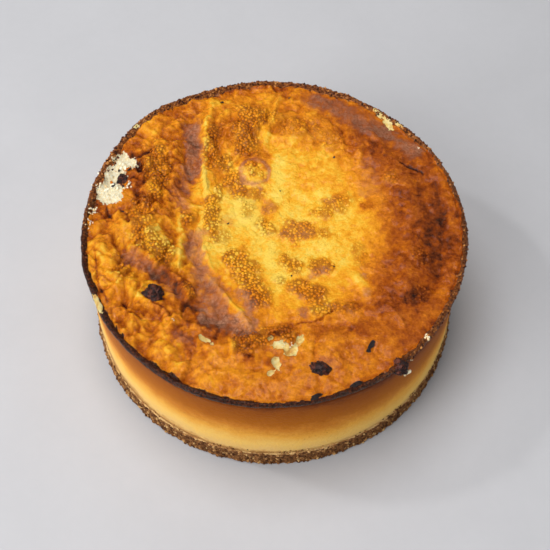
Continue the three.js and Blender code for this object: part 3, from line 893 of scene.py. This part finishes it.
def skin_material():
    material, tree, shader, place = surface("baked_skin", 0.2, coat=0.1, shine=0.34, coat_roughness=0.08)
    shader.inputs["Specular Tint"].default_value = (1.0, 0.78, 0.5, 1.0)
    tone = use_group(tree, MOTTLE, Place=place, Slow_per_metre=240.0, Fine_per_metre=900.0)
    folds = use_group(tree, MOTTLE, Place=place, Slow_per_metre=480.0, Fine_per_metre=1800.0)
    large = use_group(tree, BUBBLES, Place=place, Bubbles_per_metre=700.0)
    small = use_group(tree, BUBBLES, Place=place, Bubbles_per_metre=1250.0)
    blister, dull, lively = stored(tree, "blister"), stored(tree, "dull"), stored(tree, "lively")
    bubble = stored(tree, "bubble")
    flat = maths(tree, "SUBTRACT", 1.0, bubble)
    value = maths(tree, "MULTIPLY_ADD", tone["Slow"], 0.04, stored(tree, "browning"))
    value = maths(tree, "MULTIPLY_ADD", tone["Fine"], 0.05, value)
    # Painted shade in the creases of the skin, strongest where it is most puckered; the bump below presses
    # the same creases in.
    creases = maths(
        tree, "MULTIPLY_ADD", tone["Creases"], 0.6, maths(tree, "MULTIPLY", folds["Creases"], 0.4),
    )
    creases = maths(tree, "MULTIPLY", creases, lively)
    value = maths(tree, "MULTIPLY_ADD", creases, 0.06, value)
    netted = maths(tree, "MULTIPLY", maths(tree, "MULTIPLY_ADD", blister, 0.85, 0.12), flat)
    net = maths(
        tree, "MULTIPLY_ADD", large["Net"], 0.3, maths(tree, "MULTIPLY_ADD", large["Dome"], -0.1, -0.02),
    )
    value = maths(tree, "MULTIPLY_ADD", net, netted, value)
    foam = maths(tree, "MULTIPLY_ADD", small["Net"], 0.08, -0.03)
    value = maths(tree, "MULTIPLY_ADD", foam, maths(tree, "SUBTRACT", 1.0, dull), value)
    # Painted shade in the cracks: they are painted darker.
    value = maths(tree, "MULTIPLY_ADD", stored(tree, "crack"), 0.35, value)
    crowned = spread(tree, stored(tree, "crown"), 0.1, 0.5, 0.25, -0.06)
    value = maths(tree, "MULTIPLY_ADD", crowned, bubble, value, clamp=True)
    colour = ramp(tree, value, BAKED_TONES)
    # Painted sheen: greyed colours of reflected light, mixed over the skin's colour where the sheen mask
    # lies.
    sheen_grey = ramp(
        tree, spread(tree, tone["Fine"], -1.5, 1.5),
        [(0.0, paint(104, 60, 40)), (0.45, paint(150, 98, 72)), (1.0, paint(190, 136, 106))],
    )
    pale_sheen_grey = ramp(
        tree, spread(tree, tone["Fine"], -1.5, 1.5),
        [(0.0, paint(140, 88, 60)), (0.5, paint(172, 116, 84)), (1.0, paint(206, 150, 114))],
    )
    sheen_grey = blend(tree, spread(tree, value, 0.25, 0.55), pale_sheen_grey, sheen_grey)
    ochre = maths(
        tree, "MULTIPLY", maths(tree, "MULTIPLY", blister, flat), spread(tree, value, 0.75, 0.5, 0.0, 0.6),
    )
    colour = blend(tree, ochre, colour, paint(204, 131, 44))
    # How much painted sheen covers the colour: less on the bubbles, more where the slow mottle is high.
    sheen_share = maths(tree, "MULTIPLY", dull, maths(tree, "MULTIPLY_ADD", bubble, -0.4, 0.88))
    sheen_share = maths(tree, "MULTIPLY", sheen_share, spread(tree, tone["Slow"], -1.4, 0.4, 0.55, 1.0))
    colour = blend(tree, sheen_share, colour, sheen_grey)
    dark = ramp(
        tree, spread(tree, tone["Fine"], -1.6, 1.6),
        [(0.0, paint(20, 5, 4)), (0.5, paint(52, 16, 9)), (1.0, paint(104, 48, 22))],
    )
    brown = ramp(
        tree, spread(tree, tone["Fine"], -1.6, 1.6),
        [(0.0, paint(70, 30, 10)), (0.5, paint(138, 72, 26)), (1.0, paint(204, 130, 62))],
    )
    dark = blend(tree, stored(tree, "loose"), dark, brown)
    ragged = maths(tree, "MULTIPLY_ADD", tone["Fine"], 0.14, stored(tree, "crust"))
    colour = blend(tree, spread(tree, ragged, 0.3, 0.6), colour, dark)
    gold_edge = maths(tree, "MULTIPLY_ADD", tone["Fine"], 0.1, stored(tree, "gold"))
    gold = ramp(
        tree, spread(tree, tone["Slow"], -1.6, 1.6),
        [(0.0, paint(222, 160, 74)), (0.35, paint(252, 220, 134)), (1.0, paint(255, 242, 182))],
    )
    colour = blend(tree, spread(tree, gold_edge, 0.42, 0.56), colour, gold)
    torn_edge = maths(tree, "MULTIPLY_ADD", tone["Fine"], 0.12, stored(tree, "torn"))
    curd = ramp(
        tree, spread(tree, tone["Fine"], -2.0, 1.4),
        [
            (0.0, paint(140, 84, 40)), (0.22, paint(248, 222, 164)), (0.6, paint(255, 242, 204)),
            (1.0, paint(255, 250, 226)),
        ],
    )
    colour = blend(tree, spread(tree, torn_edge, 0.42, 0.56), colour, curd)
    tree.links.new(colour, shader.inputs["Base Color"])
    gloss = maths(tree, "MULTIPLY_ADD", dull, 0.2, maths(tree, "MULTIPLY_ADD", bubble, -0.05, 0.17))
    gloss = maths(tree, "MULTIPLY_ADD", tone["Slow"], 0.03, gloss)
    gloss = maths(tree, "MULTIPLY_ADD", stored(tree, "torn"), 0.3, gloss)
    gloss = maths(tree, "MULTIPLY_ADD", stored(tree, "loose"), 0.3, gloss, clamp=True)
    tree.links.new(gloss, shader.inputs["Roughness"])
    height = maths(tree, "MULTIPLY", large["Dome"], maths(tree, "MULTIPLY", netted, 0.32))
    height = maths(tree, "MULTIPLY_ADD", small["Dome"], 0.12, height)
    height = maths(tree, "MULTIPLY_ADD", tone["Fine"], 0.11, height)
    height = maths(
        tree, "MULTIPLY_ADD", folds["Slow"], maths(tree, "MULTIPLY_ADD", lively, 0.12, 0.05), height,
    )
    height = maths(
        tree, "MULTIPLY_ADD", tone["Slow"], maths(tree, "MULTIPLY_ADD", lively, 0.2, 0.04), height,
    )
    height = maths(tree, "MULTIPLY_ADD", creases, -0.2, height)
    height = maths(
        tree, "MULTIPLY_ADD", maths(tree, "MULTIPLY", stored(tree, "crust"), tone["Fine"]), 0.22, height,
    )
    relief(tree, shader, maths(tree, "MULTIPLY", height, maths(tree, "MULTIPLY_ADD", dull, -0.45, 1.0)))
    return material


def wall_material():
    """The filling's side: pale and creamy by the base, browned towards the rim, painted lighter on the left
    and darker on the right as the light falls, with painted shade in its pores, and the dark band under the
    rim partly browning and partly painted shade of the rim's overhang.
    """
    material, tree, shader, place = surface("set_filling", 0.5, soft=0.08, shine=0.03)
    tone = use_group(tree, MOTTLE, Place=place, Slow_per_metre=60.0, Fine_per_metre=520.0)
    axes = node(tree, "ShaderNodeSeparateXYZ", {"Vector": place})
    height = maths(tree, "DIVIDE", axes.outputs["Z"], RIM_HEIGHT * MM)
    # Painted light and shade: the side is painted lighter towards the left and darker towards the right.
    height = maths(tree, "MULTIPLY_ADD", axes.outputs["X"], 0.8, height)
    height = maths(tree, "MULTIPLY_ADD", tone["Slow"], 0.024, height)
    height = maths(tree, "MULTIPLY_ADD", tone["Fine"], 0.018, height)
    # The darkest stops, just under the rim, are partly browning and partly painted shade of the rim's
    # overhang.
    colour = ramp(tree, height, [
        (0.15, paint(188, 136, 76)), (0.205, paint(230, 186, 112)), (0.31, paint(242, 194, 100)),
        (0.43, paint(234, 168, 66)),
        (0.54, paint(204, 127, 40)), (0.65, paint(174, 99, 20)), (0.86, paint(146, 76, 15)),
        (0.95, paint(104, 47, 10)), (1.0, paint(70, 28, 8)),
    ])
    # Painted shade in the pores: the pits are painted darker.
    pores = node(tree, "ShaderNodeTexVoronoi", {"Vector": place, "Scale": 330.0, "Randomness": 1.0})
    pits = maths(tree, "SUBTRACT", 1.0, spread(tree, pores.outputs["Distance"], 0.06, 0.2))
    some = spread(tree, tone["Slow"], 0.2, 1.2)
    pits = maths(tree, "MULTIPLY", pits, some)
    colour = blend(tree, maths(tree, "MULTIPLY", pits, 0.35), colour, paint(120, 66, 30))
    tree.links.new(colour, shader.inputs["Base Color"])
    bumps = maths(tree, "MULTIPLY_ADD", tone["Fine"], 0.05, maths(tree, "MULTIPLY", pits, -0.25))
    relief(tree, shader, bumps)
    return material


def crumb_material(name, stops, roughness=0.85):
    """Baked crumbs, each with its own tone."""
    material, tree, shader, place = surface(name, roughness, soft=0.05)
    tone = use_group(tree, MOTTLE, Place=place, Slow_per_metre=300.0, Fine_per_metre=1400.0)
    value = maths(tree, "MULTIPLY_ADD", tone["Slow"], 0.14, stored(tree, "tone"))
    value = maths(tree, "MULTIPLY_ADD", tone["Fine"], 0.1, value, clamp=True)
    tree.links.new(ramp(tree, value, stops), shader.inputs["Base Color"])
    relief(tree, shader, maths(tree, "MULTIPLY", tone["Fine"], 0.1))
    return material


def raisin_material():
    material, tree, shader, place = surface("raisin_skin", 0.3, soft=0.05, coat=0.1)
    tone = use_group(tree, MOTTLE, Place=place, Slow_per_metre=420.0, Fine_per_metre=1800.0)
    value = spread(tree, tone["Slow"], -1.2, 1.2)
    colour = ramp(
        tree, value, [(0.0, paint(18, 7, 7)), (0.5, paint(44, 17, 13)), (1.0, paint(104, 50, 32))],
    )
    tree.links.new(colour, shader.inputs["Base Color"])
    relief(tree, shader, maths(tree, "MULTIPLY", tone["Fine"], 0.12))
    return material


def char_material():
    material, tree, shader, place = surface("burnt_flake", 0.55)
    tone = use_group(tree, MOTTLE, Place=place, Slow_per_metre=500.0, Fine_per_metre=2000.0)
    colour = ramp(
        tree, spread(tree, tone["Slow"], -1, 1), [(0.0, paint(14, 12, 14)), (1.0, paint(48, 36, 34))],
    )
    tree.links.new(colour, shader.inputs["Base Color"])
    relief(tree, shader, maths(tree, "MULTIPLY", tone["Fine"], 0.15))
    return material


# ---------------------------------------------------------------- scattered pieces


HALF_TURN = 3.14159


def scatter_tree():
    """Small rounded bodies spread over a surface where a stored mask says, each a little different."""
    tree = bpy.data.node_groups.new("scatter", "GeometryNodeTree")
    sockets = [
        ("Surface", "NodeSocketGeometry", None), ("Mask", "NodeSocketString", ""),
        ("Spacing", "NodeSocketFloat", 0.001),
        ("Density", "NodeSocketFloat", 1e6), ("Smallest", "NodeSocketFloat", 0.0004),
        ("Largest", "NodeSocketFloat", 0.0009),
        ("Flatness", "NodeSocketFloat", 0.6), ("Sink", "NodeSocketFloat", 0.0002),
        ("Tumble", "NodeSocketFloat", 0.0),
        ("Roughness", "NodeSocketFloat", 0.0), ("Sides", "NodeSocketInt", 7), ("Rings", "NodeSocketInt", 4),
        ("Seed", "NodeSocketInt", 1), ("Bubble", "NodeSocketFloat", 0.0),
        ("Material", "NodeSocketMaterial", None),
    ]
    for label, kind, default in sockets:
        socket = tree.interface.new_socket(label, in_out="INPUT", socket_type=kind)
        if default is not None:
            socket.default_value = default
    tree.interface.new_socket("Pieces", in_out="OUTPUT", socket_type="NodeSocketGeometry")
    given = tree.nodes.new("NodeGroupInput").outputs
    mask = node(tree, "GeometryNodeInputNamedAttribute", {"Name": given["Mask"]}, data_type="FLOAT")
    points = node(
        tree, "GeometryNodeDistributePointsOnFaces",
        {
            "Mesh": given["Surface"], "Distance Min": given["Spacing"], "Density Max": given["Density"],
            "Density Factor": mask.outputs["Attribute"], "Seed": given["Seed"],
        },
        distribute_method="POISSON",
    )
    ball = node(
        tree, "GeometryNodeMeshUVSphere",
        {"Segments": given["Sides"], "Rings": given["Rings"], "Radius": 1.0},
    )
    place = node(tree, "GeometryNodeInputPosition")
    up = node(tree, "ShaderNodeSeparateXYZ", {"Vector": place.outputs[0]})
    crowned = node(
        tree, "GeometryNodeStoreNamedAttribute",
        {"Geometry": ball.outputs["Mesh"], "Name": "crown", "Value": up.outputs["Z"]}, data_type="FLOAT",
        domain="POINT",
    )

    def chance(kind, low, high, seed):
        made = node(tree, "FunctionNodeRandomValue", data_type=kind)
        wanted = [s for s in made.inputs if s.enabled and s.name in ("Min", "Max")]
        for socket, value in zip(wanted, (low, high)):
            if isinstance(value, bpy.types.NodeSocket):
                tree.links.new(value, socket)
            else:
                socket.default_value = value
        salted = maths(tree, "ADD", given["Seed"], float(seed))
        tree.links.new(salted, made.inputs["Seed"])
        return [s for s in made.outputs if s.enabled][0]

    size = chance("FLOAT", given["Smallest"], given["Largest"], 3)
    shape = chance("FLOAT_VECTOR", (0.75, 0.75, 0.85), (1.25, 1.25, 1.15), 5)
    flat = node(tree, "ShaderNodeCombineXYZ", {"X": 1.0, "Y": 1.0, "Z": given["Flatness"]})
    shape = node(tree, "ShaderNodeVectorMath", {0: shape, 1: flat.outputs[0]}, operation="MULTIPLY")
    scale = node(tree, "ShaderNodeVectorMath", {0: shape.outputs[0], "Scale": size}, operation="SCALE")
    limit = node(tree, "ShaderNodeCombineXYZ", {"X": given["Tumble"], "Y": given["Tumble"], "Z": HALF_TURN})
    under = node(tree, "ShaderNodeVectorMath", {0: limit.outputs[0], "Scale": -1.0}, operation="SCALE")
    spin = chance("FLOAT_VECTOR", under.outputs[0], limit.outputs[0], 7)
    turn = node(tree, "FunctionNodeEulerToRotation", {"Euler": spin})
    facing = node(
        tree, "FunctionNodeRotateRotation",
        {"Rotation": points.outputs["Rotation"], "Rotate By": turn.outputs[0]}, rotation_space="LOCAL",
    )
    drop = node(
        tree, "ShaderNodeVectorMath",
        {0: points.outputs["Normal"], "Scale": maths(tree, "MULTIPLY", given["Sink"], -1.0)},
        operation="SCALE",
    )
    seated = node(
        tree, "GeometryNodeSetPosition", {"Geometry": points.outputs["Points"], "Offset": drop.outputs[0]},
    )
    copies = node(
        tree, "GeometryNodeInstanceOnPoints",
        {
            "Points": seated.outputs[0], "Instance": crowned.outputs[0], "Rotation": facing.outputs[0],
            "Scale": scale.outputs[0],
        },
    )
    toned = node(
        tree, "GeometryNodeStoreNamedAttribute",
        {"Geometry": copies.outputs[0], "Name": "tone", "Value": chance("FLOAT", 0.0, 1.0, 11)},
        data_type="FLOAT", domain="INSTANCE",
    )
    marked = node(
        tree, "GeometryNodeStoreNamedAttribute",
        {"Geometry": toned.outputs[0], "Name": "bubble", "Value": given["Bubble"]}, data_type="FLOAT",
        domain="INSTANCE",
    )
    solid = node(tree, "GeometryNodeRealizeInstances", {"Geometry": marked.outputs[0]})
    lumps = node(tree, "ShaderNodeTexNoise", {"Vector": place.outputs[0], "Scale": 900.0, "Detail": 1.0})
    push = node(
        tree, "ShaderNodeVectorMath", {0: lumps.outputs["Color"], 1: (0.5, 0.5, 0.5)}, operation="SUBTRACT",
    )
    push = node(
        tree, "ShaderNodeVectorMath", {0: push.outputs[0], "Scale": given["Roughness"]}, operation="SCALE",
    )
    uneven = node(
        tree, "GeometryNodeSetPosition", {"Geometry": solid.outputs[0], "Offset": push.outputs[0]},
    )
    smooth = node(tree, "GeometryNodeSetShadeSmooth", {"Geometry": uneven.outputs[0], "Shade Smooth": True})
    coated = node(
        tree, "GeometryNodeSetMaterial", {"Geometry": smooth.outputs[0], "Material": given["Material"]},
    )
    tree.links.new(coated.outputs[0], tree.nodes.new("NodeGroupOutput").inputs["Pieces"])
    return tree


SCATTER = scatter_tree()


def scattered(name, surface_mesh, slot, material, **settings):
    """The scatter's result over a surface, as one plain mesh piece."""
    carrier = bpy.data.objects.new(name + "_carrier", surface_mesh)
    bpy.context.scene.collection.objects.link(carrier)
    modifier = carrier.modifiers.new("scatter", "NODES")
    modifier.node_group = SCATTER
    settings["Material"] = material
    for item in SCATTER.interface.items_tree:
        label = item.name.replace(" ", "_")
        if item.in_out == "INPUT" and label in settings:
            modifier[item.identifier] = settings[label]
    bpy.context.view_layer.update()
    evaluated = carrier.evaluated_get(bpy.context.evaluated_depsgraph_get())
    mesh = bpy.data.meshes.new_from_object(evaluated)
    mesh.name = name
    bpy.data.objects.remove(carrier)
    print(name, len(mesh.polygons), "faces")
    return piece(name, mesh, slot)


# ---------------------------------------------------------------- the cake

filling, wall_faces = filling_mesh()
skin_look, wall_look = skin_material(), wall_material()
piece("cheesecake_filling", filling, "filling", "cheese_filling", materials=(skin_look, wall_look))
filling.polygons.foreach_set(
    "material_index", (np.arange(len(filling.polygons)) < wall_faces).astype(np.int32),
)

crumb_look = crumb_material("biscuit_crumb", [
    (0.0, paint(76, 42, 18)), (0.4, paint(118, 74, 36)), (0.75, paint(158, 108, 60)),
    (0.95, paint(198, 150, 92)), (1.0, paint(222, 180, 118)),
])
base = base_mesh()
piece("pressed_base", base, "crumb", "crumb_base", materials=(crumb_look,))
scattered(
    "base_grains", base, "crumb", crumb_look, Mask="side", Spacing=0.0009, Density=1.4e6, Smallest=0.0005,
    Largest=0.0013,
    Flatness=0.7, Sink=0.0003, Tumble=1.4, Roughness=0.0007, Sides=5, Rings=3, Seed=2,
)
scattered(
    "foot_grains", filling, "crumb", crumb_look, Mask="foot", Spacing=0.0008, Density=0.9e6,
    Smallest=0.0003, Largest=0.0008,
    Flatness=0.7, Sink=0.0001, Tumble=1.4, Roughness=0.0006, Sides=5, Rings=3, Seed=3,
)
scattered(
    "blisters", filling, "filling", skin_look, Mask="blister", Spacing=0.00142, Density=1.6e6,
    Smallest=0.00062, Largest=0.00112,
    Flatness=0.62, Sink=0.00016, Tumble=0.12, Roughness=0.0002, Sides=8, Rings=5, Seed=4, Bubble=1.0,
)
scattered(
    "fine_blisters", filling, "filling", skin_look, Mask="foam", Spacing=0.0009, Density=1.2e6,
    Smallest=0.00028, Largest=0.00058,
    Flatness=0.6, Sink=0.00008, Tumble=0.12, Roughness=0.0001, Sides=6, Rings=4, Seed=8, Bubble=0.7,
)
rim_look = crumb_material("rim_crumb", [
    (0.0, paint(46, 20, 10)), (0.4, paint(96, 46, 20)), (0.75, paint(146, 84, 38)),
    (1.0, paint(206, 142, 76)),
])
scattered(
    "rim_crumbs", filling, "filling", rim_look, Mask="loose", Spacing=0.0009, Density=1.1e6,
    Smallest=0.0003, Largest=0.0010,
    Flatness=0.6, Sink=0.0001, Tumble=1.2, Roughness=0.0008, Sides=5, Rings=3, Seed=6,
)
raisin_look = raisin_material()
for order, (name, x, y, half, turn, proud) in enumerate(RAISINS):
    piece(
        name + "_wrinkled", raisin_mesh(name, x, y, half, turn, proud, 91 + order), "raisin", name,
        materials=(raisin_look,),
    )


# Flakes of burnt skin: middle, half length, half width and turn.
FLAKES = [
    (47.2, -66.5, 2.6, 1.3, 55), (45.6, -69.6, 1.3, 1.0, 0), (20.5, -93.2, 3.6, 1.3, 28),
    (39, -87.2, 3.6, 1.2, 28),
    (-28.7, 84, 1.1, 0.7, 30), (-23.6, 5.7, 0.8, 0.4, 40), (-78.8, 11.6, 1.3, 0.5, -10),
    (8.6, 87.5, 0.8, 0.6, 0),
    (32.4, 47.3, 0.8, 0.5, 60), (9, -26, 0.5, 0.4, 0), (30.5, -21, 0.6, 0.4, 0), (3.5, 26, 0.5, 0.4, 0),
    (-82.5, 39, 1.0, 0.7, 60), (-76.5, 37, 1.8, 0.6, 30), (-84.5, 28, 1.6, 1.0, 70),
]


def flakes_mesh():
    """Thin curled scraps that lie on the skin, joined as one mesh."""
    points, faces = [], []
    around = circle(14)
    for order, (cx, cy, along, across, turn) in enumerate(FLAKES):
        c, s = math.cos(math.radians(turn)), math.sin(math.radians(turn))
        layers = []
        for reach, lift in ((0.0, 0.05), (0.6, 0.05), (1.0, 0.25), (0.6, 0.5), (0.0, 0.5)):
            ragged = 1 + 0.45 * rough(np.cos(around) * 1.6 + 9 * order, np.sin(around) * 1.6, 1.0, 95)
            u, v = along * reach * ragged * np.cos(around), across * reach * ragged * np.sin(around)
            x, y = cx + u * c - v * s, cy + u * s + v * c
            curl = 0.35 * reach * reach * np.abs(np.sin(around + order))
            thin = min(1.0, across)
            layers.append(np.column_stack([x, y, skin(x, y) + lift * thin + curl * thin]))
        start = len(points)
        points += [layers[0][0], *layers[1], *layers[2], *layers[3], layers[4][0]]
        count = len(around)
        rows = [start + 1, start + 1 + count, start + 1 + 2 * count]
        faces += [(start, rows[0] + (k + 1) % count, rows[0] + k) for k in range(count)]
        for low, high in zip(rows, rows[1:]):
            faces += zip_rings(low, count, high, count)
        faces += [(rows[2] + k, rows[2] + (k + 1) % count, start + 1 + 3 * count) for k in range(count)]
    mesh = bpy.data.meshes.new("burnt_flakes")
    mesh.from_pydata((np.array(points) * MM).tolist(), [], faces)
    return mesh


# Clusters of curd crumbs: middle, height or None to lie on the skin, spread, how many, and sizes.
CURD_CRUMBS = [
    (63.8, -77.4, 63.2, 1.3, 11, 0.7, 1.4), (66.5, -71.6, 67.2, 0.8, 5, 0.4, 0.9),
    (74.6, -62.6, 70.4, 1.2, 10, 0.7, 1.3),
    (74, -60.5, 70.4, 0.8, 4, 0.4, 0.8), (-93.5, 27, None, 3.2, 16, 0.25, 0.55),
    (-94, 13, None, 3.0, 20, 0.3, 0.65),
    (-95, 4, None, 2.4, 12, 0.25, 0.55), (-78, 26, None, 2.2, 8, 0.3, 0.7),
    (-76, 29, None, 1.4, 6, 0.3, 0.6),
    (-92, 36, None, 1.8, 7, 0.25, 0.6), (-48.5, -54.3, None, 0.7, 4, 0.2, 0.4),
    (-74.5, 66.5, None, 1.2, 5, 0.3, 0.6),
    (-14, 97, None, 0.7, 4, 0.3, 0.6), (78, 53, None, 1.0, 4, 0.2, 0.5),
    (-81, 40, None, 4.5, 22, 0.35, 0.9),
    (-86, 26, None, 4.0, 20, 0.35, 0.9), (7, -66.5, None, 3.4, 7, 0.2, 0.5),
]


LUMP_SIDES = 7
LUMP_LEVELS = (-0.55, 0.1, 0.65)
LUMP_POINTS = 2 + LUMP_SIDES * len(LUMP_LEVELS)


def lumps_mesh(name, clusters, seed):
    """Small uneven lumps in clusters, joined as one mesh."""
    chance = np.random.default_rng(seed)
    points, faces = [], []
    around = circle(LUMP_SIDES)
    for cx, cy, height, spread_out, count, small, large in clusters:
        for _ in range(count):
            x, y = cx + chance.normal(0, spread_out * 0.5), cy + chance.normal(0, spread_out * 0.5)
            size = chance.uniform(small, large)
            z = height + chance.normal(
                0, spread_out * 0.4,
            ) if height else float(skin(np.array([x]), np.array([y]))[0]) + 0.25 * size
            stretch = chance.uniform(0.7, 1.2, 3) * size
            tilt = chance.uniform(0, math.pi)
            start = len(points)
            ring_points = [np.array([0, 0, -1.0])]
            for lift in LUMP_LEVELS:
                reach = math.sqrt(1 - lift * lift)
                for angle in around + lift:
                    bulge = chance.uniform(0.75, 1.15)
                    corner = np.array([reach * math.cos(angle), reach * math.sin(angle), lift])
                    ring_points.append(corner * bulge)
            ring_points.append(np.array([0, 0, 1.0]))
            c, s = math.cos(tilt), math.sin(tilt)
            for px, py, pz in ring_points:
                px, py, pz = px * stretch[0], py * stretch[1], pz * stretch[2]
                points.append((x + px * c - py * s, y + px * s + py * c, z + pz))
            rows = [start + 1 + LUMP_SIDES * k for k in range(len(LUMP_LEVELS))]
            top = start + LUMP_POINTS - 1
            faces += [(start, rows[0] + (k + 1) % LUMP_SIDES, rows[0] + k) for k in range(LUMP_SIDES)]
            for low, high in zip(rows, rows[1:]):
                faces += zip_rings(low, LUMP_SIDES, high, LUMP_SIDES)
            faces += [(rows[-1] + k, rows[-1] + (k + 1) % LUMP_SIDES, top) for k in range(LUMP_SIDES)]
    mesh = bpy.data.meshes.new(name)
    mesh.from_pydata((np.array(points) * MM).tolist(), [], faces)
    mesh.shade_smooth()
    give(mesh, tone=np.repeat(chance.uniform(0, 1, len(points) // LUMP_POINTS), LUMP_POINTS))
    return mesh


piece("burnt_flakes", flakes_mesh(), "raisin", materials=(char_material(),))
curd_look = crumb_material(
    "curd_crumb", [(0.0, paint(226, 186, 124)), (0.35, paint(250, 232, 188)), (1.0, paint(255, 250, 230))],
    0.6,
)
piece("curd_crumbs", lumps_mesh("curd_crumbs", CURD_CRUMBS, 5), "filling", materials=(curd_look,))


# ---------------------------------------------------------------- floor, light and camera


def floor():
    mesh = bpy.data.meshes.new("table_top")
    mesh.from_pydata([(-2, -2, 0), (2, -2, 0), (2, 2, 0), (-2, 2, 0)], [], [(0, 1, 2, 3)])
    made = bpy.data.objects.new("table_top", mesh)
    bpy.context.scene.collection.objects.link(made)
    material, tree, shader, place = surface("pale_table", 0.7)
    tone = use_group(tree, MOTTLE, Place=place, Slow_per_metre=14.0, Fine_per_metre=160.0)
    value = maths(tree, "MULTIPLY_ADD", tone["Slow"], 0.05, 0.5)
    value = maths(tree, "MULTIPLY_ADD", tone["Fine"], 0.02, value)
    colour = ramp(tree, value, [(0.0, paint(164, 164, 167)), (1.0, paint(188, 188, 191))])
    tree.links.new(colour, shader.inputs["Base Color"])
    mesh.materials.append(material)


def area_light(name, place, size, power, colour=(1, 1, 1)):
    data = bpy.data.lights.new(name, "AREA")
    data.shape = "DISK"
    data.size = size
    data.energy = power
    data.color = colour
    made = bpy.data.objects.new(name, data)
    made.location = place
    made.rotation_euler = (Vector((0, 0, 0.04)) - Vector(place)).to_track_quat("-Z", "Y").to_euler()
    bpy.context.scene.collection.objects.link(made)


floor()
area_light("overhead", (-0.226, 0.19, 1.674), 1.1, 21.4)
area_light("window", (-1.1, 0.294, 1.263), 0.14, 5.6)
area_light("high_left", (-0.8, -0.72, 1.2), 0.8, 7.8)
area_light("left_low", (-1.2, -0.75, 0.49), 0.8, 10.2)
area_light("right_low", (1.0, -0.8, 0.45), 0.6, 2.2)
world = bpy.data.worlds.new("studio")
world.use_nodes = True
world.node_tree.nodes["Background"].inputs["Color"].default_value = (1.0, 1.0, 1.0, 1)
world.node_tree.nodes["Background"].inputs["Strength"].default_value = 0.2
bpy.context.scene.world = world
bpy.context.scene.view_settings.view_transform = "Standard"

lens = bpy.data.cameras.new("camera")
lens.lens, lens.sensor_width = 68.727, 36
camera = bpy.data.objects.new("camera", lens)
camera.location = (0.0007, -0.2964, 0.5224)
camera.rotation_euler = (math.radians(30.825), 0, 0)
bpy.context.scene.collection.objects.link(camera)
bpy.context.scene.camera = camera
